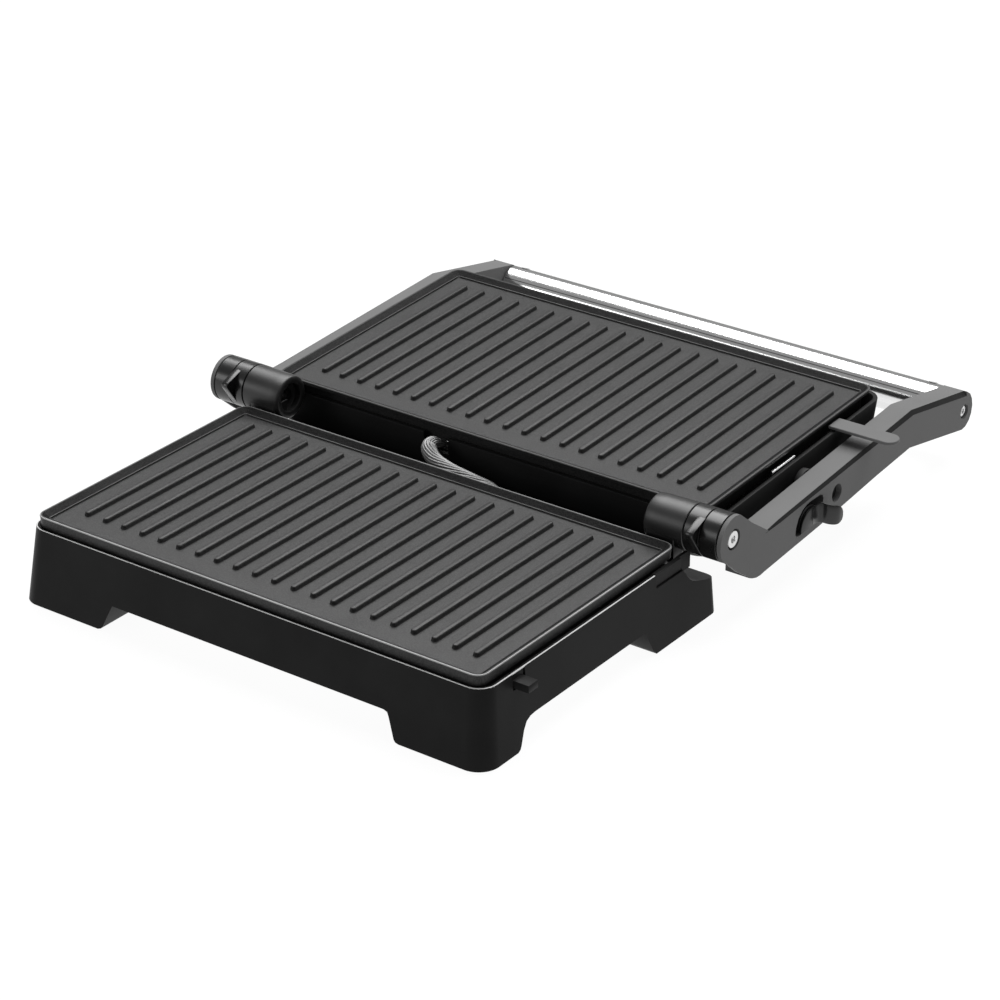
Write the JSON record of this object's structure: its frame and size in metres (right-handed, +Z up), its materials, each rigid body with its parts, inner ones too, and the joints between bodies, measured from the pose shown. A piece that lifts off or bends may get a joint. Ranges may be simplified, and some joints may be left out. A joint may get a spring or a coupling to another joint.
{
  "type": "panini press",
  "caption": "Contact grill opened flat: ribbed lower plate in a footed base, ribbed upper plate in a lid hung between two hinged arms with a tube handle.",
  "frame": {"origin": "middle of the bounding box's bottom, on the surface the feet stand on, with the press opened flat", "axes": "+Z up; +Y from the base towards the opened lid and its handle; +X to the side with the release lever and the plate release buttons; the hinge axis lies along X"},
  "size_m": [0.3374, 0.4312, 0.0641],
  "materials": {
    "black_plastic": "satin",
    "satin_black": "satin",
    "grey_paint": "satin",
    "non_stick": "matte",
    "steel": "satin",
    "handle_metal": "gloss",
    "sheet_steel": "satin",
    "reflector": "satin",
    "element": "satin",
    "rubber": "matte",
    "ceramic": "matte",
    "red_lens": "gloss",
    "green_lens": "gloss"
  },
  "bodies": {
    "base": {"base_housing": "black_plastic", "base_underside_cover": "sheet_steel", "rubber_foot_1": "rubber", "rubber_foot_2": "rubber", "rubber_foot_3": "rubber", "rubber_foot_4": "rubber", "cover_screw_1": "steel", "cover_screw_2": "steel", "cover_screw_3": "steel", "cover_screw_4": "steel", "hinge_pedestal_right": "satin_black", "hinge_pedestal_left": "satin_black", "lower_reflector_pan": "sheet_steel", "lower_heating_element": "element", "lower_grill_plate": "non_stick", "lower_thermostat": "ceramic", "terminal_block": "ceramic", "conduit_grommet": "rubber", "mains_cord_gland": "rubber"},
    "arms": {"arm_right": "grey_paint", "arm_left": "grey_paint", "stop_collar_right": "satin_black", "stop_collar_left": "satin_black", "hinge_barrel_right": "satin_black", "hinge_barrel_left": "satin_black", "hinge_pin_right": "steel", "hinge_pin_left": "steel", "hinge_screw_right": "steel", "hinge_screw_left": "steel", "handle_tube": "handle_metal", "handle_plug_right": "satin_black", "handle_plug_left": "satin_black", "handle_screw_right": "steel", "handle_screw_left": "steel", "release_lever_pin": "steel"},
    "lid": {"lid_shell": "black_plastic", "upper_grill_plate": "non_stick", "upper_reflector_pan": "reflector", "upper_heating_element": "element", "upper_thermostat": "ceramic", "upper_plate_clip": "steel", "wiring_conduit": "steel", "lid_pivot_pin_right": "steel", "lid_pivot_pin_left": "steel", "power_lamp": "red_lens", "ready_lamp": "green_lens"},
    "lower_release": {"lower_plate_release": "black_plastic"},
    "upper_release": {"upper_plate_release": "grey_paint"},
    "release_lever": {"hinge_release_lever": "satin_black"}
  },
  "joints": [
    {"name": "lid_hinge", "type": "hinge", "parent": "base", "child": "arms", "pos_m": [-0.00723, -0.03395, 0.0511], "axis": [1, 0, 0], "range_deg": [0, 176.5], "deforming": ["wiring_conduit"]},
    {"name": "lid_float", "type": "hinge", "parent": "arms", "child": "lid", "pos_m": [-0.00723, 0.06085, 0.0388], "axis": [1, 0, 0], "range_deg": [0, 3]},
    {"name": "lower_release_press", "type": "slide", "parent": "base", "child": "lower_release", "axis": [-1, 0, 0], "range_m": [0, 0.0035], "stiffness_N_per_m": 400, "springref_m": -0.002},
    {"name": "upper_release_press", "type": "slide", "parent": "lid", "child": "upper_release", "axis": [-1, 0, 0], "range_m": [0, 0.004], "stiffness_N_per_m": 400, "springref_m": -0.002},
    {"name": "release_lever_turn", "type": "hinge", "parent": "arms", "child": "release_lever", "pos_m": [0.15077, 0.03865, 0.0308], "axis": [1, 0, 0], "range_deg": [0, 12], "stiffness_Nm_per_rad": 0.1, "springref_deg": -11.46}
  ]
}
